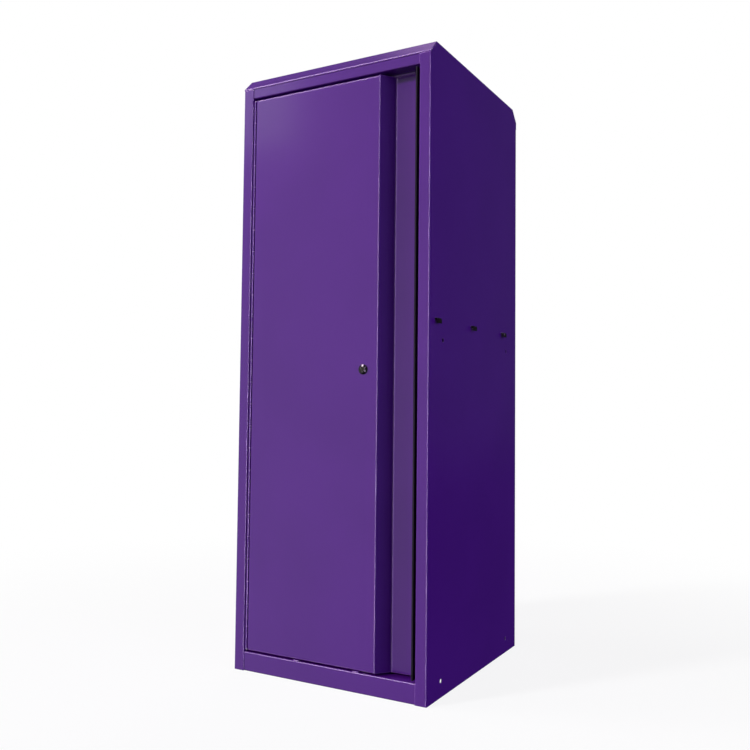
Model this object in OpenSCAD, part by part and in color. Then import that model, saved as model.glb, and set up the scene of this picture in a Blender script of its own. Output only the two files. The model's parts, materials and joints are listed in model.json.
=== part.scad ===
// Tall steel locker cabinet with one full-height door, a finger recess down the door's
// free edge and a key lock that drives two locking rods.
// Millimetres, +Z up, +X to the right as seen from the front, +Y to the back.
// The origin is the middle of the footprint, at floor level.

/* [Overall] */
// Width over the side panels
cabinet_w = 495; // [440:5:700]
// Depth from the front frame to the back
cabinet_d = 524; // [480:4:700]
// Height
cabinet_h = 1395; // [1200:5:1900]
// Thickness of the sheet steel
sheet_t = 1.2; // [1:0.1:1.5]
// Radius of the bends, at the middle of the sheet
bend_r = 2.2; // [1.5:0.1:3]
// Size of the sloped strips along the top's front and rear edges
top_slope = 28; // [15:1:40]

/* [Front frame] */
// Width of each front post
post_w = 27; // [22:1:40]
// Height of the sill below the door
sill_h = 43; // [40:1:80]
// Height of the frame above the opening
head_h = 54; // [50:1:80]
// Depth of the post that carries the hinge
post_d = 24; // [22:1:34]
// Depth of the face that the closed door stops against
stop_d = 34.5; // [34:0.5:40]
// Width of the door stop
stop_w = 26; // [22:1:28]

/* [Door] */
// Gap beside the door on the hinge side
hinge_gap = 10; // [10:0.5:12]
// Gap beside the door on the free side
free_gap = 5.6; // [5:0.2:8]
// Gap above the door
gap_top = 6; // [5:0.5:10]
// Gap below the door
gap_bottom = 5; // [5:0.5:10]
// Depth of the door's box section
door_d = 26; // [25:1:28]
// Depth of the finger recess
recess_d = 31.3; // [29:0.1:31.5]
// Width of the finger recess at its mouth, to the middle of the lip
recess_w = 87.6; // [70:0.2:110]
// Width of the recess's sloped wall
recess_slope = 25; // [15:1:35]
// Width of the rubber trim on the lip
trim_w = 5; // [4:0.2:6]
// Depth of the rubber trim on the lip
trim_d = 14; // [8:1:18]

/* [Hinge] */
// Outer radius of the knuckles
knuckle_r = 3; // [3:0.1:4]
// Radius of the hinge pin
pin_r = 1.5; // [1:0.1:1.8]
// Depth of the hinge axis behind the front face
pivot_d = 3.4; // [3:0.1:5]
// Distance between knuckles
knuckle_pitch = 50; // [40:5:80]
// Width of each leaf's flat part
leaf_w = 12; // [10:1:14]

/* [Lock and rods] */
// Distance from the lock's centre to the front panel's free edge
lock_inset = 35; // [30:1:60]
// Radius of the lock's face
lock_face_r = 11; // [10:0.5:14]
// Distance that the lock stands out from the door
lock_proud = 4; // [3:0.5:6]
// Radius of the turning plug
plug_r = 5; // [5:0.5:7]
// Radius from the lock's centre to each drive pin
drive_r = 15; // [15:0.5:17]
// Width of the locking rods
rod_w = 14; // [12:1:16]
// Thickness of the locking rods
rod_t = 3; // [2:0.5:4]

/* [Inside] */
// Height of the lowest shelf above the floor
shelf_z = 387; // [237:50:437]
// Distance between shelves
shelf_step = 300; // [200:50:300]
// Depth of the shelf standards in front of the side walls
standard_d = 8; // [6:1:12]
// Distance between the slots of the shelf standards
slot_pitch = 50; // [50:25:100]

/* [Side fixing] */
// Radius of the four fixing holes in the right side
side_hole_r = 4.5; // [3:0.5:6]
// Distance between the fixing holes from front to back
side_hole_dy = 383; // [300:1:400]
// Distance between the fixing holes from bottom to top
side_hole_dz = 720; // [500:10:900]
// Distance between the hanging hooks
hook_pitch = 194; // [120:2:194]
// Distance that the hooks stand out
hook_out = 9; // [6:1:14]

/* [Hidden] */
$fn = 48;
half_t = sheet_t / 2;
half_w = cabinet_w / 2;
wall_x = half_w - sheet_t;
open_x = half_w - post_w;
open_top = cabinet_h - head_h;
bend_steps = 6;
fit = 0.05;

// Corner room that straight parts leave beside a bend
bend_room = bend_r + 1;
// Height of the cover's front lip, and of its rear lip
lip_h = 3;
rear_lip_h = 18;
slope_foot = cabinet_h - top_slope;
rear_flange = 16;
base_flange = 25;
base_inset = 30;
corner_lap = 20;
sill_d = 45;
sill_foot = 25;
hem_z = 20;
head_stop_h = 15;
pan_upstand = 12;
screw_r = 1.5;
screw_hole_r = 1.6;
screw_head_r = 4;
screw_head_t = 2;
back_screw_n = 6;
back_screw_l = 8;
back_screw_x = half_w - rear_flange / 2 - 1;

// Door
door_x = -open_x + hinge_gap;
lip_x = open_x - free_gap - trim_w / 2;
panel_x = lip_x - recess_w;
door_z = sill_h + gap_bottom;
door_top = open_top - gap_top;
door_mid = (door_z + door_top) / 2;
rod_x = panel_x - lock_inset;
fold = bend_r + half_t;
fold_end = 1.4;

// Hinge
pivot_x = -open_x + hinge_gap / 2;
hinge_z = door_z + 2;
hinge_top = door_top - 2;
knuckle_gap = 0.4;
knuckles = floor((hinge_top - hinge_z) / knuckle_pitch);
knuckle_l = (hinge_top - hinge_z) / knuckles;
leaf_d = pivot_d + knuckle_r + 1;
rivet_d = leaf_d + leaf_w / 2;
leaf_knee = 2.5;
rivets = 7;
rivet_r = 2;
rivet_hole_r = 2.1;
rivet_head_r = 3.2;
rivet_head_t = 1;
rivet_tail_r = 2.9;
rivet_tail_t = 1.6;

// Lock
bezel_drop = 0.6 * lock_proud;
barrel_r = 9.4;
barrel_d = 12.5;
cam_d = 13;
cam_t = 3;
tang = 7;
drive_pin_r = 3;
slot_play = 0.8;
rod_d = 19;
rod_rest = drive_r * sin(45);
rod_end = door_top - door_mid - 4;
rod_play = 0.3;
cam_w = 12;
cam_hub_r = 11;
nut_r = 14;
nut_t = 4;
keyway_w = 2;
keyway_h = 6.5;
guide_z = [330, 610];
guide_w = 24;
guide_h = 14;
receiver_w = rod_w + 14;
receiver_l = 9;
collar_t = 1.5;

// Free edge of the door, and what it meets
touch_gap = 0.3;
touch_d = recess_d + sheet_t + touch_gap;
touch_x = open_x - stop_w + 8.5;
bumper_z = [120, door_mid, door_top - 60];
bumper_r = 5;
bumper_neck_r = 2;
bumper_hole_r = 2.1;
catch_z = [door_mid - 330, door_mid + 330];
catch_w = 14;
catch_h = 50;
catch_t = 12;
catch_screw_dz = 20;
magnet_w = 6.6;
magnet_h = 30.6;
magnet_t = 9;
magnet_play = 0.2;
trim_nose = 4.5;
stiffener_w = 28;
stiffener_h = 20;
stiffener_foot = 14;
lug_x = [-77, 77];
lug_w = 14;

// Inside
standard_z = 60;
standard_top = open_top - 21;
standard_d_at = [100, 396];
standard_w = 20;
standard_flange = 7;
slot_w = 4;
slot_h = 14;
slots = floor((standard_top - standard_z - slot_pitch) / slot_pitch);
shelf_front = 48;
shelf_back = cabinet_d - 12;
shelf_x = half_w - sheet_t - standard_d - 2.3;
shelf_h = 20;
shelf_lip = 25;
shelf_lap = 20;
clip_w = 14;
clip_t = 1.4;
clip_ledge = 11;
clip_ledge_t = 2;
clip_h = 14;
clip_hook_w = 3.4;
clip_hook = 2.5;

// Side fixing
side_hole_d = cabinet_d / 2 - 1.5;
side_hole_z = 35;
hook_d = 36;
hook_w = 16;
hook_t = 3;
hook_top = 800;
hook_drop = 11.5;
hook_plate = 30;
hook_play = 0.5;

purple = "rebeccapurple";

// ---- Bent sheet -------------------------------------------------------------

function unit(v) = v / norm(v);
function left_of(v) = [-v.y, v.x];
function turned(v, a) = [v.x * cos(a) - v.y * sin(a), v.x * sin(a) + v.y * cos(a)];
function reversed(p) = [for (i = [len(p) - 1:-1:0]) p[i]];

// The arc that rounds the corner b between a and c
function bend(a, b, c) =
  let (
    u = unit(b - a),
    v = unit(c - b),
    turn = sign(cross(u, v)) * acos(u * v),
    start = b - u * bend_r * tan(abs(turn) / 2),
    spoke = left_of(u) * bend_r * sign(turn)
  )
  [for (i = [0:bend_steps]) start + spoke - turned(spoke, turn * i / bend_steps)];

function rounded(p) = [
  p[0],
  for (i = [1:len(p) - 2]) each bend(p[i - 1], p[i], p[i + 1]),
  p[len(p) - 1]
];

// The path p moved sideways to its left by d
function shifted(p, d) = [
  for (i = [0:len(p) - 1])
    let (
      u = unit(i == 0 ? p[1] - p[0] : p[i] - p[i - 1]),
      v = i == len(p) - 1 ? u : unit(p[i + 1] - p[i]),
      m = left_of(unit(u + v))
    )
    p[i] + m * d / (m * left_of(u))
];

// The cross-section of a sheet whose middle follows the path p
module strip(p, t = sheet_t) {
  line = rounded(p);
  polygon(concat(shifted(line, t / 2), reversed(shifted(line, -t / 2))));
}

// ---- Placing ----------------------------------------------------------------

// Parts are drawn with Y = 0 at the front face
module from_front() translate([0, -cabinet_d / 2, 0]) children();

// A Y-Z outline drawn out along X, from x0 to x1
module along_x(x0, x1) translate([x0, 0, 0]) rotate([90, 0, 90]) linear_extrude(x1 - x0) children();

// An X-Z outline drawn out along Y, from y0 to y1
module along_y(y0, y1) translate([0, y1, 0]) rotate([90, 0, 0]) linear_extrude(y1 - y0) children();

// An X-Y outline drawn out along Z, from z0 to z1
module along_z(z0, z1) translate([0, 0, z0]) linear_extrude(z1 - z0) children();

// A block between two corners
module block(a, b) translate(a) cube(b - a);

// A round bar along X or Y, from one point for a length
module bar_x(at, r, l) translate(at) rotate([0, 90, 0]) cylinder(r = r, h = l);
module bar_y(at, r, l) translate(at) rotate([-90, 0, 0]) cylinder(r = r, h = l);

module at_lock() translate([rod_x, 0, door_mid]) children();

// ---- Side panels ------------------------------------------------------------

// The top cover's middle line, from its front lip to its rear lip
function cover_line() = [
  [half_t, slope_foot - lip_h],
  [half_t, slope_foot - half_t * tan(22.5)],
  [top_slope - half_t * tan(22.5), cabinet_h - half_t],
  [cabinet_d - top_slope + half_t * tan(22.5), cabinet_h - half_t],
  [cabinet_d - half_t, slope_foot - half_t * tan(22.5)],
  [cabinet_d - half_t, slope_foot - rear_lip_h]
];

// The sheet's width that lies under the cover, without its ends behind the lips
function under_cover() =
  let (line = shifted(cover_line(), -sheet_t), down = unit([1, 1]) * bend_room)
  [line[1] + down, line[2], line[3], line[4] + [-down.x, down.y]];

// The right side panel; return_path is the post's section behind its front flange
module side_panel(return_path) {
  flange_top = slope_foot - lip_h - 0.2;
  back = [[half_w - half_t, cabinet_d - half_t], [half_w - rear_flange, cabinet_d - half_t]];
  front = [[half_w - half_t, half_t]];
  roof = under_cover();
  along_z(0, sill_h) strip(concat([[open_x, half_t]], front, back));
  along_z(sill_h, open_top) strip(concat(return_path, front, back));
  along_z(open_top, slope_foot - rear_lip_h - 0.2) strip(concat([[open_x, half_t]], front, back));
  along_z(open_top, flange_top) strip([[open_x, half_t], front[0], front[0] + [0, corner_lap]]);
  along_x(wall_x, half_w)
    polygon(concat(
      [[bend_room, open_top], [bend_room, flange_top], [sheet_t, flange_top], [sheet_t, slope_foot - 1]],
      roof,
      [[cabinet_d - sheet_t, slope_foot - 1], [cabinet_d - sheet_t, slope_foot - rear_lip_h - 0.2],
       [cabinet_d - bend_room, slope_foot - rear_lip_h - 0.2], [cabinet_d - bend_room, open_top]]
    ));
  along_x(half_w - rear_flange, half_w) strip(roof);
  block([half_w - base_flange, base_inset, 0], [wall_x + half_t, cabinet_d - base_inset, sheet_t]);
}

module rear_flange_holes()
  for (i = [0:back_screw_n - 1])
    bar_y([back_screw_x, cabinet_d - sheet_t - 1, back_screw_z(i)], screw_hole_r, 4);

module left_side_panel()
  color(purple) from_front() mirror([1, 0, 0])
    difference() {
      side_panel([[open_x + half_t, post_d], [open_x + half_t, half_t]]);
      for (i = [0:rivets - 1])
        bar_x([open_x - 1, rivet_d, rivet_z(i)], rivet_hole_r, 4);
      rear_flange_holes();
    }

module right_side_panel()
  color(purple) from_front()
    difference() {
      side_panel([
        [open_x - stop_w, stop_d + half_t],
        [open_x + half_t, stop_d + half_t],
        [open_x + half_t, half_t]
      ]);
      rear_flange_holes();
      for (y = [-1, 1], z = [0, 1])
        bar_x([wall_x - 1, side_hole_d + y * side_hole_dy / 2, side_hole_z + z * side_hole_dz],
              side_hole_r, 4);
      for (i = [0:2])
        translate([wall_x - 1, hook_d + i * hook_pitch - hook_w / 2 - hook_play, hook_top - hook_t - 1])
          cube([4, hook_w + 2 * hook_play, hook_t + 1 + hook_play]);
      for (z = bumper_z) bar_y([touch_x, stop_d - 1, z], bumper_hole_r, 4);
      for (z = catch_z) {
        translate([touch_x - magnet_w / 2 - 0.7, stop_d - 1, z - magnet_h / 2 - 0.7])
          cube([magnet_w + 1.4, 4, magnet_h + 1.4]);
        for (s = [-1, 1]) bar_y([touch_x, stop_d - 1, z + s * catch_screw_dz], screw_hole_r, 4);
      }
    }

// ---- Carcass ----------------------------------------------------------------

module back_panel()
  color(purple) from_front()
    difference() {
      block([-wall_x + 2, cabinet_d - 2 * sheet_t, 2],
            [wall_x - 2, cabinet_d - sheet_t, slope_foot - 4]);
      for (s = [-1, 1], i = [0:back_screw_n - 1])
        bar_y([s * back_screw_x, cabinet_d - 2 * sheet_t - 1, back_screw_z(i)], screw_hole_r, 4);
    }

module top_cover()
  color(purple) from_front() along_x(-half_w, half_w) strip(cover_line());

module top_rail()
  color(purple) from_front()
    difference() {
      union() {
        along_x(-half_w + bend_room, half_w - bend_room)
          strip([
            [stop_d + sheet_t, open_top + half_t],
            [sheet_t + half_t, open_top + half_t],
            [sheet_t + half_t, slope_foot - 1.5]
          ]);
        block([-open_x + 3, stop_d, open_top - head_stop_h],
              [open_x - stop_w - 1, stop_d + sheet_t, open_top + sheet_t]);
      }
      block([rod_x - receiver_w / 2 + 3, rod_d - 3, open_top - 1],
            [rod_x + receiver_w / 2 - 3, rod_d + rod_t + 3, open_top + 3]);
    }

module bottom_rail()
  color(purple) from_front()
    difference() {
      along_x(-half_w + bend_room, half_w - bend_room)
        strip([
          [sill_foot, half_t],
          [sheet_t + half_t, half_t],
          [sheet_t + half_t, sill_h - half_t],
          [sill_d, sill_h - half_t],
          [sill_d, hem_z]
        ]);
      block([rod_x - receiver_w / 2 + 3, rod_d - 3, sill_h - 3],
            [rod_x + receiver_w / 2 - 3, rod_d + rod_t + 3, sill_h + 1]);
    }

module floor_pan()
  color(purple) from_front() {
    along_x(-wall_x + bend_room, wall_x - bend_room)
      strip([
        [sill_d + sheet_t, hem_z],
        [sill_d + sheet_t, sill_h - half_t],
        [cabinet_d - 2 * sheet_t - half_t, sill_h - half_t],
        [cabinet_d - 2 * sheet_t - half_t, hem_z]
      ]);
    for (s = [-1, 1])
      scale([s, 1, 1])
        along_y(sill_d + 5, cabinet_d - 10)
          strip([
            [wall_x - corner_lap, sill_h - half_t],
            [wall_x - half_t, sill_h - half_t],
            [wall_x - half_t, sill_h + pan_upstand]
          ]);
  }

// ---- Shelves ----------------------------------------------------------------

// One slotted standard on the right wall, with its middle at depth d
module standard(side, d)
  color("gray") from_front() scale([side, 1, 1])
    difference() {
      along_z(standard_z, standard_top)
        translate([wall_x, d])
          strip([
            [-half_t, -standard_w / 2 - standard_flange],
            [-half_t, -standard_w / 2],
            [half_t - standard_d, -standard_w / 2],
            [half_t - standard_d, standard_w / 2],
            [-half_t, standard_w / 2],
            [-half_t, standard_w / 2 + standard_flange]
          ]);
      for (i = [1:slots])
        translate([wall_x - standard_d - 1, d - slot_w / 2, slot_z(i) - slot_h / 2])
          cube([3, slot_w, slot_h]);
    }

function slot_z(i) = standard_z - 3 + i * slot_pitch;
function shelf_at(i) = shelf_z + i * shelf_step;

module standard_front_left() standard(-1, standard_d_at[0]);
module standard_front_right() standard(1, standard_d_at[0]);
module standard_rear_left() standard(-1, standard_d_at[1]);
module standard_rear_right() standard(1, standard_d_at[1]);

// A tray-shaped shelf whose top face is at height z
module shelf(z)
  color(purple) from_front() {
    along_x(-shelf_x + 1, shelf_x - 1)
      strip([
        [shelf_front + shelf_lip / 2, z - shelf_lip + half_t],
        [shelf_front + half_t, z - shelf_lip + half_t],
        [shelf_front + half_t, z - half_t],
        [shelf_back - half_t, z - half_t],
        [shelf_back - half_t, z - shelf_lip + half_t],
        [shelf_back - shelf_lip / 2, z - shelf_lip + half_t]
      ]);
    for (s = [-1, 1])
      scale([s, 1, 1])
        along_y(shelf_front + bend_room, shelf_back - bend_room)
          strip([
            [shelf_x - shelf_lap, z - half_t], [shelf_x - half_t, z - half_t],
            [shelf_x - half_t, z - shelf_h]
          ]);
  }

module shelf_bottom() shelf(shelf_at(0));
module shelf_middle() shelf(shelf_at(1));
module shelf_top() shelf(shelf_at(2));

// One clip hooked into a slot of a right-hand standard, its ledge's top at height z
module shelf_clip(z) {
  face = wall_x - standard_d;
  inner = face + sheet_t;
  half = clip_w / 2;
  hook = clip_hook_w / 2;
  block([face - clip_t, -half, z - clip_h], [face, half, z]);
  block([face - clip_ledge, -half, z - clip_ledge_t], [face, half, z]);
  block([face - clip_t, -hook, z - clip_h + 1.5], [inner + clip_hook, hook, z - 3]);
  block([inner + 0.3, -hook, z - clip_h - 2.5], [inner + clip_hook, hook, z - 3]);
}

module shelf_clips()
  color("silver") from_front()
    for (s = [-1, 1], d = standard_d_at, i = [0:2])
      scale([s, 1, 1]) translate([0, d, 0]) shelf_clip(shelf_at(i) - shelf_h);

// ---- Hinge ------------------------------------------------------------------

function rivet_z(i) = hinge_z + (hinge_top - hinge_z) * (i + 0.5) / rivets;

// One leaf with its knuckles, on the side of the hinge where X is positive.
// first is 0 or 1, and the leaf holds every second knuckle from there.
module hinge_leaf(first) {
  wall = hinge_gap / 2 - half_t;
  tangent = knuckle_r - half_t;
  neck = [[wall, leaf_d + 1], [wall, leaf_d], [tangent, leaf_d - leaf_knee], [tangent, pivot_d]];
  difference() {
    union() {
      along_z(hinge_z, hinge_top)
        translate([wall - half_t, leaf_d]) square([sheet_t, leaf_w]);
      for (i = [first:2:knuckles - 1])
        along_z(hinge_z + i * knuckle_l + knuckle_gap / 2, hinge_z + (i + 1) * knuckle_l - knuckle_gap / 2) {
          polygon(concat(shifted(neck, half_t), reversed(shifted(neck, -half_t))));
          translate([0, pivot_d]) circle(knuckle_r);
        }
    }
    translate([0, pivot_d, hinge_z - 1]) cylinder(r = pin_r + fit, h = hinge_top - hinge_z + 2);
    for (i = [0:rivets - 1]) bar_x([wall - 2, rivet_d, rivet_z(i)], rivet_hole_r, 4);
  }
}

// One blind rivet through a leaf and the sheet behind it, with its head towards X = 0
module hinge_rivet(z) {
  wall = hinge_gap / 2;
  bar_x([wall - sheet_t - rivet_head_t, rivet_d, z], rivet_head_r, rivet_head_t);
  bar_x([wall - sheet_t - 0.5, rivet_d, z], rivet_r, 2 * sheet_t + 1);
  bar_x([wall + sheet_t, rivet_d, z], rivet_tail_r, rivet_tail_t);
}

module at_hinge() from_front() translate([pivot_x, 0, 0]) children();

module hinge_frame_leaf() color(purple) at_hinge() mirror([1, 0, 0]) hinge_leaf(0);
module hinge_door_leaf() color(purple) at_hinge() hinge_leaf(1);
module hinge_frame_rivets()
  color("silver") at_hinge() mirror([1, 0, 0]) for (i = [0:rivets - 1]) hinge_rivet(rivet_z(i));
module hinge_door_rivets()
  color("silver") at_hinge() for (i = [0:rivets - 1]) hinge_rivet(rivet_z(i));
module hinge_pin()
  color("silver") at_hinge()
    translate([0, pivot_d, hinge_z - 1]) cylinder(r = pin_r, h = hinge_top - hinge_z + 2);

// ---- Small parts on the carcass ----------------------------------------------

function back_screw_z(i) = 80 + i * (open_top - 130) / (back_screw_n - 1);

// Self-tapping screws that hold the back panel to the side panels' rear flanges
module back_screws()
  color("silver") from_front()
    for (s = [-1, 1], i = [0:back_screw_n - 1])
      translate([s * back_screw_x, cabinet_d, back_screw_z(i)]) {
        rotate([-90, 0, 0]) cylinder(r1 = screw_head_r, r2 = 0.75 * screw_head_r, h = screw_head_t);
        bar_y([0, -back_screw_l, 0], screw_r, back_screw_l);
      }

// Hooks that hang the cabinet on the side of a neighbour
module side_hooks()
  color("black") from_front()
    for (i = [0:2])
      along_y(hook_d + i * hook_pitch - hook_w / 2, hook_d + i * hook_pitch + hook_w / 2)
        strip([
          [wall_x - hook_t / 2, hook_top - hook_plate],
          [wall_x - hook_t / 2, hook_top - hook_t / 2],
          [half_w + hook_out - hook_t / 2, hook_top - hook_t / 2],
          [half_w + hook_out - hook_t / 2, hook_top - hook_drop]
        ], hook_t);

// Rubber buttons pressed into the door stop
module door_bumpers() {
  head = stop_d - touch_d;
  neck = head + sheet_t + 0.2;
  color("black") from_front()
    for (z = bumper_z)
      translate([touch_x, touch_d, z]) rotate([-90, 0, 0])
        rotate_extrude()
          polygon([
            [0, 0], [bumper_r - 1, 0], [bumper_r, 0.6], [bumper_r, head], [bumper_neck_r, head],
            [bumper_neck_r, neck], [bumper_neck_r + 0.8, neck + 0.3], [1.2, neck + 2.3], [0, neck + 2.3]
          ]);
}

// Magnetic catches behind the door stop, with the magnet facing the door
module catch_housings() {
  back = stop_d + sheet_t;
  color("dimgray") from_front()
    for (z = catch_z)
      difference() {
        block([touch_x - catch_w / 2, back, z - catch_h / 2],
              [touch_x + catch_w / 2, back + catch_t, z + catch_h / 2]);
        block([touch_x - magnet_w / 2 - magnet_play, stop_d, z - magnet_h / 2 - magnet_play],
              [touch_x + magnet_w / 2 + magnet_play, back + magnet_t, z + magnet_h / 2 + magnet_play]);
        for (s = [-1, 1]) bar_y([touch_x, stop_d, z + s * catch_screw_dz], screw_r, 11);
      }
}

module catch_magnets()
  color("silver") from_front()
    for (z = catch_z)
      block([touch_x - magnet_w / 2, touch_d, z - magnet_h / 2],
            [touch_x + magnet_w / 2, stop_d + sheet_t + magnet_t, z + magnet_h / 2]);

module catch_screws()
  color("silver") from_front()
    for (z = catch_z, s = [-1, 1])
      translate([touch_x, stop_d, z + s * catch_screw_dz]) {
        bar_y([0, -1.2, 0], 0.7 * screw_head_r, 1.2);
        bar_y([0, -0.5, 0], screw_r - 0.1, 10.5);
      }

// Raised lugs on the sill that the door's lower edge rides over
module sill_lugs()
  color(purple) from_front()
    for (x = lug_x)
      translate([0, 0, sill_h])
        along_x(x - lug_w / 2, x + lug_w / 2)
          polygon([[2.2, 0], [3.4, 1.8], [4.8, 2.4], [9, 2.2], [12, 0]]);

// Nylon bush that a rod's end slides into; its collar lies on the frame, towards -Z
module rod_receiver() {
  wide = receiver_w / 2;
  deep = rod_t / 2 + 5.5;
  difference() {
    union() {
      block([-wide, -deep, -collar_t], [wide, deep, 0]);
      block([-wide + 3.2, -deep + 2.7, -0.5], [wide - 3.2, deep - 2.7, receiver_l]);
    }
    block([-rod_w / 2 - 1.5, -rod_t / 2 - 1.2, -2], [rod_w / 2 + 1.5, rod_t / 2 + 1.2, receiver_l + 1]);
  }
}

module rod_receivers()
  color("dimgray") from_front() {
    translate([rod_x, rod_d + rod_t / 2, open_top]) rod_receiver();
    translate([rod_x, rod_d + rod_t / 2, sill_h]) mirror([0, 0, 1]) rod_receiver();
  }

// ---- Door -------------------------------------------------------------------

// The path of the door's outer face, from the hinge side's return to the lip
function door_face() = [
  [door_x, door_d],
  [door_x, 0],
  [panel_x, 0],
  [panel_x + recess_slope, recess_d],
  [lip_x - half_t, recess_d],
  [lip_x - half_t, 5]
];

// The top edge of the front panel, folded back into a flange
module door_fold() {
  along_x(door_x + bend_room, panel_x - fold_end)
    strip([[half_t, door_top - fold], [half_t, door_top - half_t], [door_d, door_top - half_t]]);
  along_z(door_top - sheet_t, door_top)
    polygon([
      [door_x + sheet_t, fold],
      [panel_x - 1 + recess_slope * fold / recess_d, fold],
      [panel_x - 1 + recess_slope * door_d / recess_d, door_d],
      [door_x + sheet_t, door_d]
    ]);
}

module door_skin()
  color(purple) from_front()
    difference() {
      union() {
        difference() {
          along_z(door_z, door_top) strip(shifted(door_face(), half_t));
          for (z = [door_z, door_top])
            block([door_x + bend_room, -1, z - fold], [panel_x - fold_end, sheet_t + 0.5, z + fold]);
        }
        door_fold();
        translate([0, 0, door_z + door_top]) mirror([0, 0, 1]) door_fold();
      }
      at_lock() bar_y([0, -1, 0], barrel_r + 0.1, 4);
      for (z = [door_z, door_top])
        block([rod_x - rod_w / 2 - 1.5, rod_d - 1.5, z - 2],
              [rod_x + rod_w / 2 + 1.5, rod_d + rod_t + 1.5, z + 2]);
      for (i = [0:rivets - 1]) bar_x([door_x - 1, rivet_d, rivet_z(i)], rivet_hole_r, 4);
    }

// Hat-shaped stiffener down the inside of the front panel
module door_stiffener()
  color(purple) from_front()
    along_z(door_z + 14, door_top - 14)
      translate([(door_x + panel_x) / 2 - 12, sheet_t])
        strip([
          [-stiffener_w / 2 - 4 - stiffener_foot, half_t],
          [-stiffener_w / 2 - 4, half_t],
          [-stiffener_w / 2, stiffener_h],
          [stiffener_w / 2, stiffener_h],
          [stiffener_w / 2 + 4, half_t],
          [stiffener_w / 2 + 4 + stiffener_foot, half_t]
        ]);

// Rubber channel pushed over the lip
module edge_trim()
  color("black") from_front()
    difference() {
      along_z(door_z - 0.5, door_top + 2.5) {
        translate([lip_x - trim_w / 2, trim_nose]) square([trim_w, trim_d]);
        translate([lip_x, trim_nose]) circle(trim_w / 2);
      }
      translate([lip_x - half_t, 5, door_z]) cube([sheet_t, trim_d, door_top - door_z]);
    }

// Nylon guides bonded to the inside of the front panel
module rod_guides()
  color("dimgray") from_front()
    for (s = [-1, 1], z = guide_z)
      translate([rod_x, 0, door_mid + s * z])
        difference() {
          block([-guide_w / 2, sheet_t, -guide_h / 2], [guide_w / 2, rod_d + rod_t + 2.8, guide_h / 2]);
          block([-rod_w / 2 - rod_play, rod_d - rod_play, -guide_h],
                [rod_w / 2 + rod_play, rod_d + rod_t + rod_play, guide_h]);
          block([4 - guide_w / 2, sheet_t + 2.5, -guide_h], [guide_w / 2 - 4, rod_d - 3, guide_h]);
        }

// ---- Lock -------------------------------------------------------------------

module lock_housing()
  color("black") from_front() at_lock() rotate([-90, 0, 0])
    rotate_extrude($fn = 64)
      polygon([
        [plug_r + fit, 0.8 - lock_proud],
        [plug_r + 0.8, -lock_proud],
        [lock_face_r - 0.4, bezel_drop - lock_proud],
        [lock_face_r, bezel_drop + 0.6 - lock_proud],
        [lock_face_r, 0],
        [barrel_r, 0],
        [barrel_r, barrel_d],
        [plug_r + fit, barrel_d]
      ]);

module lock_nut()
  color("silver") from_front() at_lock()
    difference() {
      translate([0, sheet_t, 0]) rotate([-90, 0, 0]) cylinder(r = nut_r, h = nut_t, $fn = 6);
      bar_y([0, 0, 0], barrel_r + fit, 8);
    }

// The plug that the key turns, with its keyway and a square tang for the cam plate
module lock_plug()
  color("silver") from_front() at_lock()
    difference() {
      union() {
        bar_y([0, 0.6 - lock_proud, 0], plug_r, cam_d - 0.2 - 0.6 + lock_proud);
        block([-tang / 2, cam_d - 1, -tang / 2], [tang / 2, cam_d + cam_t, tang / 2]);
      }
      block([-keyway_w / 2, -lock_proud, -keyway_h / 2], [keyway_w / 2, 4, keyway_h / 2]);
      bar_y([0, cam_d - 6, 0], 2.05, 12);
    }

// At rest the drive pins lie at 45 degrees, and the rods are drawn back
module cam_plate()
  color("silver") from_front() at_lock()
    rotate([0, 45, 0])
      difference() {
        union() {
          bar_y([0, cam_d, 0], cam_hub_r, cam_t);
          block([-drive_r, cam_d, -cam_w / 2], [drive_r, cam_d + cam_t, cam_w / 2]);
          for (s = [-1, 1]) bar_y([s * drive_r, cam_d, 0], cam_w / 2, cam_t);
        }
        rotate([0, -45, 0])
          block([-tang / 2 - fit, 0, -tang / 2 - fit], [tang / 2 + fit, 30, tang / 2 + fit]);
        for (s = [-1, 1]) bar_y([s * drive_r, 0, 0], drive_pin_r + fit, 30);
      }

module drive_pins()
  color("silver") from_front() at_lock()
    rotate([0, 45, 0])
      for (s = [-1, 1]) bar_y([s * drive_r, cam_d, 0], drive_pin_r, rod_d + rod_t + 1.5 - cam_d);

module cam_screw()
  color("silver") from_front() at_lock() {
    bar_y([0, cam_d + cam_t, 0], 4, 2.4);
    bar_y([0, cam_d - 5, 0], 2, 9);
  }

// ---- Rods -------------------------------------------------------------------

// The upper rod, drawn about the lock's centre. Its leg holds the slot for the drive pin
// on the right; the lower rod is the same piece turned upside down.
module rod() {
  leg = 4.5;
  side = drive_r + drive_pin_r + slot_play + 3.2;
  along_y(rod_d, rod_d + rod_t)
    difference() {
      union() {
        translate([leg, -rod_rest - 8]) square([side - leg, rod_rest + 42]);
        translate([-rod_w / 2, 22]) square([rod_w / 2 + side, 12]);
        polygon([
          [-rod_w / 2, 22], [rod_w / 2, 22], [rod_w / 2, rod_end - 3],
          [rod_w / 2 - 3, rod_end], [3 - rod_w / 2, rod_end], [-rod_w / 2, rod_end - 3]
        ]);
      }
      translate([rod_rest - drive_pin_r - slot_play, -rod_rest - drive_pin_r - slot_play])
        square([drive_r - rod_rest + 2 * (drive_pin_r + slot_play), 2 * (drive_pin_r + slot_play)]);
    }
}

module upper_rod() color("silver") from_front() at_lock() rod();
module lower_rod() color("silver") from_front() at_lock() rotate([0, 180, 0]) rod();

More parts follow.
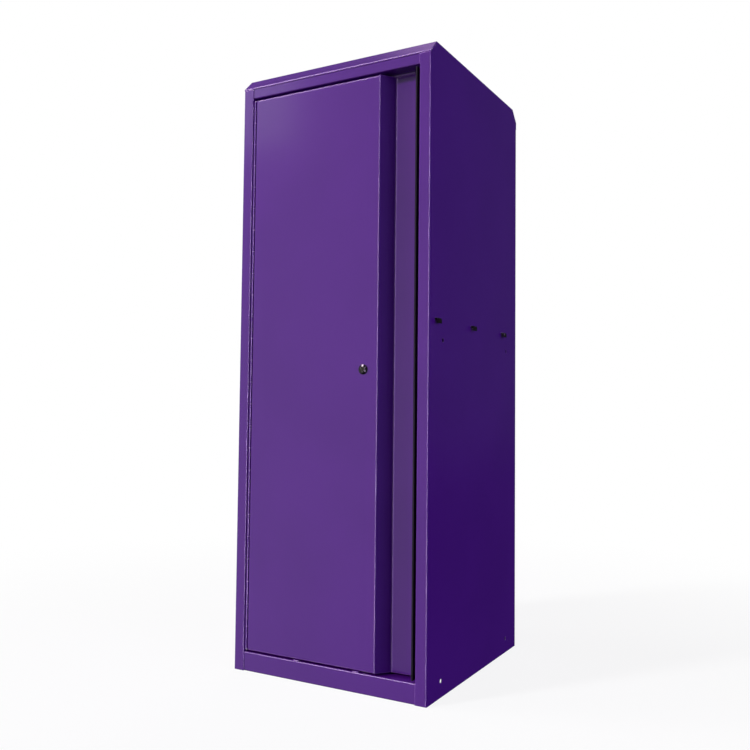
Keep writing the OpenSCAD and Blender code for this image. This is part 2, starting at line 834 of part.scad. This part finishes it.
left_side_panel();
right_side_panel();
back_panel();
top_cover();
top_rail();
bottom_rail();
floor_pan();
standard_front_left();
standard_front_right();
standard_rear_left();
standard_rear_right();
shelf_bottom();
shelf_middle();
shelf_top();
shelf_clips();
hinge_frame_leaf();
hinge_pin();
hinge_frame_rivets();
side_hooks();
back_screws();
door_bumpers();
catch_housings();
catch_magnets();
catch_screws();
sill_lugs();
rod_receivers();
door_skin();
door_stiffener();
hinge_door_leaf();
hinge_door_rivets();
edge_trim();
lock_housing();
lock_nut();
rod_guides();
lock_plug();
cam_plate();
drive_pins();
cam_screw();
upper_rod();
lower_rod();
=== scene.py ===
"""A purple steel locker cabinet: the camera, studio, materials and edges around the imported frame.

Units are metres. +Z is up, +X is to the right as seen from the front and +Y is to the back.
"""
import json
import math

import bpy
from mathutils import Matrix, Vector


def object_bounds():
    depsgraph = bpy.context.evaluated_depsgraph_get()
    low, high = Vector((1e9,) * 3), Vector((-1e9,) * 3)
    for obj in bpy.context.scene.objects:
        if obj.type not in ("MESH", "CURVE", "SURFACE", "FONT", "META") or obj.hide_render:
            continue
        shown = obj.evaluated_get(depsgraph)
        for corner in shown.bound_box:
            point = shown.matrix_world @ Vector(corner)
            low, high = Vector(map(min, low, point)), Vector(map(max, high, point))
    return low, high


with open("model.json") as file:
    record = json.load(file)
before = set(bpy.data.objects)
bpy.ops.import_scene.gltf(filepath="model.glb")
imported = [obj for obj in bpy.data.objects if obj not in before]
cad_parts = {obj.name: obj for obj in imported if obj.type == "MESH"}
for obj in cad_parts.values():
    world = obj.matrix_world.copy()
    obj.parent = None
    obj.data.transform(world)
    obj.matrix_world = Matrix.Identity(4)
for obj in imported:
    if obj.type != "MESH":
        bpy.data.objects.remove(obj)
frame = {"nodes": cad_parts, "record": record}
CAD_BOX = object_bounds()
NODES = frame["nodes"]
SCENE = bpy.context.scene


# ---- Camera -----------------------------------------------------------------

CAMERA_AT = Vector((1.0015, -1.8318, 0.6112))
CAMERA_AZIMUTH = math.radians(29.334)
CAMERA_RISE = math.radians(2.782)
CAMERA_ROLL = math.radians(0.596)
CAMERA_LENS_MM = 40.26
CAMERA_SHIFT_Y = -0.0122


def add_camera():
    """The camera stands in front and to the right, low down, and looks a little upwards."""
    ahead = Vector((
        -math.sin(CAMERA_AZIMUTH) * math.cos(CAMERA_RISE),
        math.cos(CAMERA_AZIMUTH) * math.cos(CAMERA_RISE),
        math.sin(CAMERA_RISE),
    ))
    level = ahead.cross(Vector((0, 0, 1))).normalized()
    over = level.cross(ahead)
    right = level * math.cos(CAMERA_ROLL) + over * math.sin(CAMERA_ROLL)
    up = over * math.cos(CAMERA_ROLL) - level * math.sin(CAMERA_ROLL)
    data = bpy.data.cameras.new("camera")
    data.lens = CAMERA_LENS_MM
    data.shift_y = CAMERA_SHIFT_Y
    camera = bpy.data.objects.new("camera", data)
    turn = Matrix((right, up, -ahead)).transposed().to_4x4()
    camera.matrix_world = Matrix.Translation(CAMERA_AT) @ turn
    SCENE.collection.objects.link(camera)
    SCENE.camera = camera


# ---- Studio -----------------------------------------------------------------

def add_softbox(name, at, towards, size, power, colour=(1, 1, 1), matt=True, gloss=True):
    """A rectangular light at a point, facing another point."""
    data = bpy.data.lights.new(name, "AREA")
    data.shape = "RECTANGLE"
    data.size, data.size_y = size
    data.energy = power
    data.color = colour
    light = bpy.data.objects.new(name, data)
    light.location = at
    light.rotation_euler = (Vector(towards) - Vector(at)).to_track_quat("-Z", "Y").to_euler()
    light.visible_diffuse = matt
    light.visible_glossy = gloss
    light.visible_camera = False
    SCENE.collection.objects.link(light)


def add_sun(name, towards, power, spread, colour=(1, 1, 1), matt=True, gloss=True):
    """A distant soft light; towards points from the cabinet to the light."""
    data = bpy.data.lights.new(name, "SUN")
    data.energy = power
    data.angle = math.radians(spread)
    data.color = colour
    light = bpy.data.objects.new(name, data)
    light.rotation_euler = Vector(towards).to_track_quat("Z", "Y").to_euler()
    light.visible_diffuse = matt
    light.visible_glossy = gloss
    SCENE.collection.objects.link(light)


FLOOR_HALF = 40
FLOOR_BELOW = 0.0005    # keeps the floor clear of the cabinet's lower edges
SHADOW_FADES = (0.6, 2.2)    # metres from the middle of the cabinet
NEAR_WHITE = 0.88    # share of the plain white at the cabinet's foot


def add_floor():
    """A pale floor that shows the cabinet's soft shadow and fades into the white surround."""
    corners = [(-1, -1), (1, -1), (1, 1), (-1, 1)]
    mesh = bpy.data.meshes.new("floor")
    mesh.from_pydata([(x * FLOOR_HALF, y * FLOOR_HALF, 0) for x, y in corners], [], [(0, 1, 2, 3)])
    floor = bpy.data.objects.new("floor", mesh)
    floor.location.z = CAD_BOX[0][2] - FLOOR_BELOW
    SCENE.collection.objects.link(floor)
    floor.visible_glossy = False
    floor.visible_diffuse = False
    floor.visible_shadow = False
    look = Look("floor_white")
    look.shader.inputs["Base Color"].default_value = (0.9, 0.9, 0.9, 1)
    look.shader.inputs["Roughness"].default_value = 0.9
    look.shader.inputs["Specular IOR Level"].default_value = 0.1
    glow = look.node("ShaderNodeEmission")
    glow.inputs["Strength"].default_value = 1.0
    away = look.node("ShaderNodeVectorMath", operation="LENGTH")
    look.link(look.position(), away.inputs[0])
    fade = look.ramp(away.outputs["Value"], *SHADOW_FADES, NEAR_WHITE, 1.0)
    both = look.node("ShaderNodeMixShader")
    look.link(fade, both.inputs["Fac"])
    look.link(look.shader.outputs["BSDF"], both.inputs[1])
    look.link(glow.outputs["Emission"], both.inputs[2])
    look.link(both.outputs["Shader"], look.output.inputs["Surface"])
    mesh.materials.append(look.material)


# A large pale panel at the front left, which the front of the cabinet reflects
PANEL_AT = (-0.75, -0.66, 0.0)
PANEL_SPREAD = math.radians(48)
PANEL_GLOW = 1.25
AMBIENT = 0.02


def add_world():
    """A dark grey surround with one large soft panel, which the camera sees as white."""
    world = bpy.data.worlds.new("studio")
    world.use_nodes = True
    tree = world.node_tree
    tree.nodes.clear()
    out = tree.nodes.new("ShaderNodeOutputWorld")
    where = tree.nodes.new("ShaderNodeTexCoord")
    near = tree.nodes.new("ShaderNodeVectorMath")
    near.operation = "DOT_PRODUCT"
    near.inputs[1].default_value = Vector(PANEL_AT).normalized()
    tree.links.new(where.outputs["Generated"], near.inputs[0])
    glow = tree.nodes.new("ShaderNodeMapRange")
    glow.interpolation_type = "SMOOTHSTEP"
    glow.inputs["From Min"].default_value = math.cos(PANEL_SPREAD)
    glow.inputs["From Max"].default_value = 1.0
    glow.inputs["To Min"].default_value = AMBIENT
    glow.inputs["To Max"].default_value = PANEL_GLOW
    tree.links.new(near.outputs["Value"], glow.inputs["Value"])
    ambient = tree.nodes.new("ShaderNodeBackground")
    ambient.inputs["Color"].default_value = (1, 1, 1, 1)
    tree.links.new(glow.outputs["Result"], ambient.inputs["Strength"])
    white = tree.nodes.new("ShaderNodeBackground")
    white.inputs["Color"].default_value = (1, 1, 1, 1)
    white.inputs["Strength"].default_value = 1.0
    seen = tree.nodes.new("ShaderNodeLightPath")
    both = tree.nodes.new("ShaderNodeMixShader")
    tree.links.new(seen.outputs["Is Camera Ray"], both.inputs["Fac"])
    tree.links.new(ambient.outputs["Background"], both.inputs[1])
    tree.links.new(white.outputs["Background"], both.inputs[2])
    tree.links.new(both.outputs["Shader"], out.inputs["Surface"])
    SCENE.world = world


# ---- Materials --------------------------------------------------------------

class Look:
    """A material with one main shader, and short ways to add the nodes around it."""

    def __init__(self, name):
        self.material = bpy.data.materials.new(name)
        self.material.use_nodes = True
        self.tree = self.material.node_tree
        self.tree.nodes.clear()
        self.output = self.node("ShaderNodeOutputMaterial")
        self.shader = self.node("ShaderNodeBsdfPrincipled")
        self.link(self.shader.outputs["BSDF"], self.output.inputs["Surface"])
        self.coordinates = self.node("ShaderNodeTexCoord")

    def node(self, kind, **settings):
        made = self.tree.nodes.new(kind)
        for key, value in settings.items():
            setattr(made, key, value)
        return made

    def link(self, source, target):
        self.tree.links.new(source, target)

    def feed(self, value, target):
        """Links a socket to the target, or sets the target to a plain value."""
        if isinstance(value, bpy.types.NodeSocket):
            self.link(value, target)
        else:
            target.default_value = value

    def position(self):
        return self.coordinates.outputs["Object"]

    def stretched(self, scale):
        """The position, scaled along each axis."""
        mapping = self.node("ShaderNodeMapping")
        mapping.inputs["Scale"].default_value = scale
        self.link(self.position(), mapping.inputs["Vector"])
        return mapping.outputs["Vector"]

    def noise(self, size, detail=2.0, roughness=0.5, stretch=(1, 1, 1)):
        """Noise with lumps of that size in metres."""
        made = self.node("ShaderNodeTexNoise")
        made.inputs["Scale"].default_value = 1 / size
        made.inputs["Detail"].default_value = detail
        made.inputs["Roughness"].default_value = roughness
        self.link(self.stretched(stretch), made.inputs["Vector"])
        return made.outputs["Fac"]

    def ramp(self, value, low, high, out_low=0.0, out_high=1.0):
        """value, mapped smoothly from low..high to out_low..out_high; high may be a socket."""
        made = self.node("ShaderNodeMapRange", interpolation_type="SMOOTHSTEP")
        made.inputs["From Min"].default_value = low
        self.feed(high, made.inputs["From Max"])
        made.inputs["To Min"].default_value = out_low
        made.inputs["To Max"].default_value = out_high
        self.link(value, made.inputs["Value"])
        return made.outputs["Result"]

    def mix(self, kind, factor, first, second):
        """A blend from first to second, each a socket or a plain value."""
        made = self.node("ShaderNodeMix", data_type=kind)
        self.link(factor, made.inputs["Factor"])
        self.feed(first, made.inputs["A"])
        self.feed(second, made.inputs["B"])
        return made.outputs["Result"]

    def colours(self, factor, first, second):
        """A blend of two colours."""
        return self.mix("RGBA", factor, (*first, 1), (*second, 1))

    def bump(self, height, depth, under=None):
        """A bump of that depth in metres, on top of the normal called under."""
        made = self.node("ShaderNodeBump")
        made.inputs["Distance"].default_value = depth
        made.inputs["Strength"].default_value = 1.0
        self.link(height, made.inputs["Height"])
        if under is not None:
            self.link(under, made.inputs["Normal"])
        return made.outputs["Normal"]

    def set(self, **values):
        for name, value in values.items():
            self.shader.inputs[name.replace("_", " ")].default_value = value


MIDDLE = (0.3, 0.7)    # where most of a noise's values lie

# The purple coat
FOLD_RADIUS = 0.0019    # the sheet's folds, rounded in the shading
CORNER_REACH = 0.005    # faces this near each other make an inner corner
OPENNESS = (0.85, 0.99)    # how open the surface is in an inner corner, and away from one
HIGHLIGHT_FULL_TURN = 0.9    # cosine of the turn from the flat face where the painted highlight along a fold is brightest
HIGHLIGHT_END_TURN = (0.965, 0.99)    # and where the painted highlight ends, which varies along the fold
# size of the patches along a fold where the painted highlight ends sooner or later
HIGHLIGHT_PATCH = 0.03
CLOUD_SIZE = 0.22
FLECK_SIZE = 0.0011
FLECK_SHADE = (0.98, 1.02)
FLECK_DEPTH = 0.000004
PEEL_SIZE = 0.0034
PEEL_DEPTH = 0.000012
GLOSS_SIZE = 0.004
COAT_ROUGHNESS = (0.2, 0.24)
CORNER_ROUGHNESS = 0.7
PURPLE = (0.063, 0.0045, 0.175)
PURPLE_CLOUD = (0.069, 0.0055, 0.189)
# lighter purple painted along the outer folds as a highlight
PURPLE_PAINTED_HIGHLIGHT = (0.3, 0.115, 0.5)


def powder_coat():
    """Semi-gloss powder coat: faintly cloudy, finely pebbled, with a painted highlight in lighter
    purple along its folds.
    """
    look = Look("purple_powder_coat")
    surface = look.node("ShaderNodeNewGeometry")
    rounded = look.node("ShaderNodeBevel", samples=4)
    rounded.inputs["Radius"].default_value = FOLD_RADIUS
    corner = look.node("ShaderNodeAmbientOcclusion", samples=16, only_local=True)
    corner.inputs["Distance"].default_value = CORNER_REACH
    outer = look.ramp(corner.outputs["AO"], *OPENNESS)
    normal = look.mix("VECTOR", outer, surface.outputs["Normal"], rounded.outputs["Normal"])

    # painted highlight: lighter colour where the rounded shading normal turns over a fold; inner
    # corners keep the flat normal and get none
    turned = look.node("ShaderNodeVectorMath", operation="DOT_PRODUCT")
    look.link(normal, turned.inputs[0])
    look.link(surface.outputs["True Normal"], turned.inputs[1])
    fold_highlight_end = look.ramp(look.noise(HIGHLIGHT_PATCH, 4.0, 0.6), *MIDDLE, *HIGHLIGHT_END_TURN)
    fold_highlight = look.ramp(turned.outputs["Value"], HIGHLIGHT_FULL_TURN, fold_highlight_end, 1.0, 0.0)

    fleck = look.noise(FLECK_SIZE, 2.0)
    base = look.colours(look.ramp(look.noise(CLOUD_SIZE, 3.0), *MIDDLE), PURPLE, PURPLE_CLOUD)
    tint = look.node("ShaderNodeVectorMath", operation="SCALE")
    look.link(base, tint.inputs[0])
    look.link(look.ramp(fleck, 0.3, 0.75, *FLECK_SHADE), tint.inputs["Scale"])
    # the base colour with the painted fold highlight laid over it
    coat = look.mix("RGBA", fold_highlight, tint.outputs["Vector"], (*PURPLE_PAINTED_HIGHLIGHT, 1))
    look.link(coat, look.shader.inputs["Base Color"])

    gloss = look.ramp(look.noise(GLOSS_SIZE, 3.0), *MIDDLE, *COAT_ROUGHNESS)
    look.link(look.mix("FLOAT", outer, CORNER_ROUGHNESS, gloss), look.shader.inputs["Roughness"])

    peel = look.bump(look.noise(PEEL_SIZE, 2.0), PEEL_DEPTH, under=normal)
    look.link(look.bump(fleck, FLECK_DEPTH, under=peel), look.shader.inputs["Normal"])
    look.set(Specular_IOR_Level=0.36)
    return look.material


STEEL_MARK_DEPTH = 0.000008


def steel(name, dark, light, roughness, grain=None, flakes=None):
    """Bare or plated steel, with marks of the size grain along each axis, or with zinc flakes."""
    look = Look(name)
    if grain:
        marks = look.noise(1.0, 3.0, 0.6, tuple(1 / size for size in grain))
    else:
        cells = look.node("ShaderNodeTexVoronoi")
        cells.inputs["Scale"].default_value = 1 / flakes
        look.link(look.position(), cells.inputs["Vector"])
        grey = look.node("ShaderNodeSeparateColor")
        look.link(cells.outputs["Color"], grey.inputs["Color"])
        marks = grey.outputs["Red"]
    colour = look.colours(look.ramp(marks, 0.2, 0.8), dark, light)
    look.link(colour, look.shader.inputs["Base Color"])
    uneven = look.ramp(marks, 0.2, 0.8, roughness * 0.85, roughness * 1.2)
    look.link(uneven, look.shader.inputs["Roughness"])
    look.link(look.bump(marks, STEEL_MARK_DEPTH), look.shader.inputs["Normal"])
    look.set(Metallic=1.0)
    return look.material


def black(name, colour, roughness, size, depth, specular=0.5):
    """Black paint, rubber or nylon, with surface marks of that size and depth."""
    look = Look(name)
    marks = look.noise(size, 3.0)
    lighter = tuple(c * 1.5 + 0.002 for c in colour)
    varied = look.colours(look.ramp(marks, 0.3, 0.8), colour, lighter)
    look.link(varied, look.shader.inputs["Base Color"])
    uneven = look.ramp(marks, *MIDDLE, roughness * 0.9, roughness * 1.15)
    look.link(uneven, look.shader.inputs["Roughness"])
    look.link(look.bump(marks, depth), look.shader.inputs["Normal"])
    look.set(Specular_IOR_Level=specular)
    return look.material


def paint_nodes():
    """Gives every CAD node the material of its slot."""
    finishes = {
        "purple_paint": powder_coat(),
        "galvanised_steel": steel("galvanised_steel", (0.42, 0.43, 0.44), (0.58, 0.59, 0.6), 0.38,
                                  flakes=0.007),
        "zinc_hardware": steel("zinc_hardware", (0.55, 0.55, 0.53), (0.7, 0.7, 0.68), 0.28,
                               (0.0008, 0.0008, 0.0008)),
        "black_steel": black("black_steel", (0.002, 0.002, 0.003), 0.12, 0.0015, 0.000003, 0.35),
        "lock_steel": steel("lock_steel", (0.012, 0.014, 0.009), (0.045, 0.05, 0.034), 0.42,
                            (0.0002, 0.004, 0.0002)),
        "black_rubber": black("black_rubber", (0.005, 0.0036, 0.0062), 0.5, 0.0012, 0.00002, 0.07),
        "black_nylon": black("black_nylon", (0.018, 0.018, 0.019), 0.55, 0.0008, 0.00003, 0.4),
        "magnet": steel("magnet", (0.2, 0.2, 0.2), (0.3, 0.3, 0.3), 0.4, (0.0004, 0.0004, 0.004)),
    }
    for part in frame["record"]["subparts"]:
        NODES[part["node"]].data.materials[0] = finishes[part["material_slot"]]


# ---- Edges ------------------------------------------------------------------

def smooth_group(angle):
    """A modifier group that shades a mesh smoothly across edges flatter than the angle."""
    group = bpy.data.node_groups.new("smooth_by_angle", "GeometryNodeTree")
    group.interface.new_socket("Geometry", in_out="INPUT", socket_type="NodeSocketGeometry")
    group.interface.new_socket("Geometry", in_out="OUTPUT", socket_type="NodeSocketGeometry")
    start = group.nodes.new("NodeGroupInput")
    end = group.nodes.new("NodeGroupOutput")
    faces = group.nodes.new("GeometryNodeSetShadeSmooth")
    edges = group.nodes.new("GeometryNodeSetShadeSmooth")
    edges.domain = "EDGE"
    edges.inputs["Shade Smooth"].default_value = False
    bent = group.nodes.new("GeometryNodeInputMeshEdgeAngle")
    sharp = group.nodes.new("FunctionNodeCompare")
    sharp.data_type = "FLOAT"
    sharp.operation = "GREATER_THAN"
    sharp.inputs["B"].default_value = angle
    group.links.new(start.outputs["Geometry"], faces.inputs["Geometry"])
    group.links.new(faces.outputs["Geometry"], edges.inputs["Geometry"])
    group.links.new(bent.outputs["Unsigned Angle"], sharp.inputs["A"])
    group.links.new(sharp.outputs["Result"], edges.inputs["Selection"])
    group.links.new(edges.outputs["Geometry"], end.inputs["Geometry"])
    return group


SHARP_ANGLE = math.radians(28)
WELD_DISTANCE = 0.000005
EDGE_ROUNDING = 0.00025
SLOT_ROUNDING = {
    "black_rubber": 0.0004,
    "black_nylon": 0.0004,
    "lock_steel": 0.0002,
    "purple_paint": 0.00035,
}
NODE_ROUNDING = {"sill_lugs": 0.001}


def soften_edges():
    """Rounds the cut edges of each CAD node a little, so that they catch the light."""
    group = smooth_group(SHARP_ANGLE)
    for part in frame["record"]["subparts"]:
        node = NODES[part["node"]]
        weld = node.modifiers.new("weld", "WELD")
        weld.merge_threshold = WELD_DISTANCE
        bevel = node.modifiers.new("bevel", "BEVEL")
        by_slot = SLOT_ROUNDING.get(part["material_slot"], EDGE_ROUNDING)
        bevel.width = NODE_ROUNDING.get(part["node"], by_slot)
        bevel.segments = 3
        bevel.limit_method = "ANGLE"
        bevel.angle_limit = SHARP_ANGLE
        smooth = node.modifiers.new("smooth", "NODES")
        smooth.node_group = group
        node.modifiers.new("even", "WEIGHTED_NORMAL").keep_sharp = True


# ---- The scene --------------------------------------------------------------

PALE_PINK = (1.0, 0.76, 1.0)
PINK = (1.0, 0.7, 1.0)
VIOLET = (0.82, 0.6, 1.0)
BLUISH = (0.84, 0.82, 1.23)


def add_lights():
    """matt=False shows a light only as a reflection, and gloss=False only in a surface's colour."""
    add_sun("key", (-0.508, -0.699, 0.503), 2.4, 8, gloss=False)
    add_sun("left", (-0.91, -0.28, 0.15), 2.1, 20, gloss=False)
    add_sun("side", (0.85, -0.1, 0.15), 1.76, 60, BLUISH, gloss=False)
    add_sun("upper", (-0.49, -0.44, 0.73), 4.2, 22, PALE_PINK, matt=False)
    add_sun("above", (0.23, 0.1, 0.95), 3.0, 15, matt=False)
    add_sun("top", (-0.22, 0.43, 0.87), 0.16, 26, PINK)
    add_sun("over", (-0.45, 0.4, 0.8), 0.13, 60, matt=False)
    add_sun("behind", (0.45, 0.8, 0.45), 0.03, 60, matt=False)
    add_sun("rear", (-0.1, 0.98, 0.08), 1.6, 40, gloss=False)
    add_softbox("strip", (0.7, -4.2, 0.75), (0, -0.26, 0.7), (0.4, 4.5), 600, VIOLET, matt=False)
    add_softbox("upper_left", (-0.93, -0.8, 1.76), (-0.2, -0.26, 1.3), (0.35, 0.35), 4.3,
                gloss=False)
    add_softbox("sheen", (-0.75, -0.8, 1.62), (-0.75, 0.0, 1.62), (0.54, 0.37), 0.75)


add_camera()
add_world()
add_floor()
add_lights()
SCENE.view_settings.view_transform = "Standard"
paint_nodes()
soften_edges()
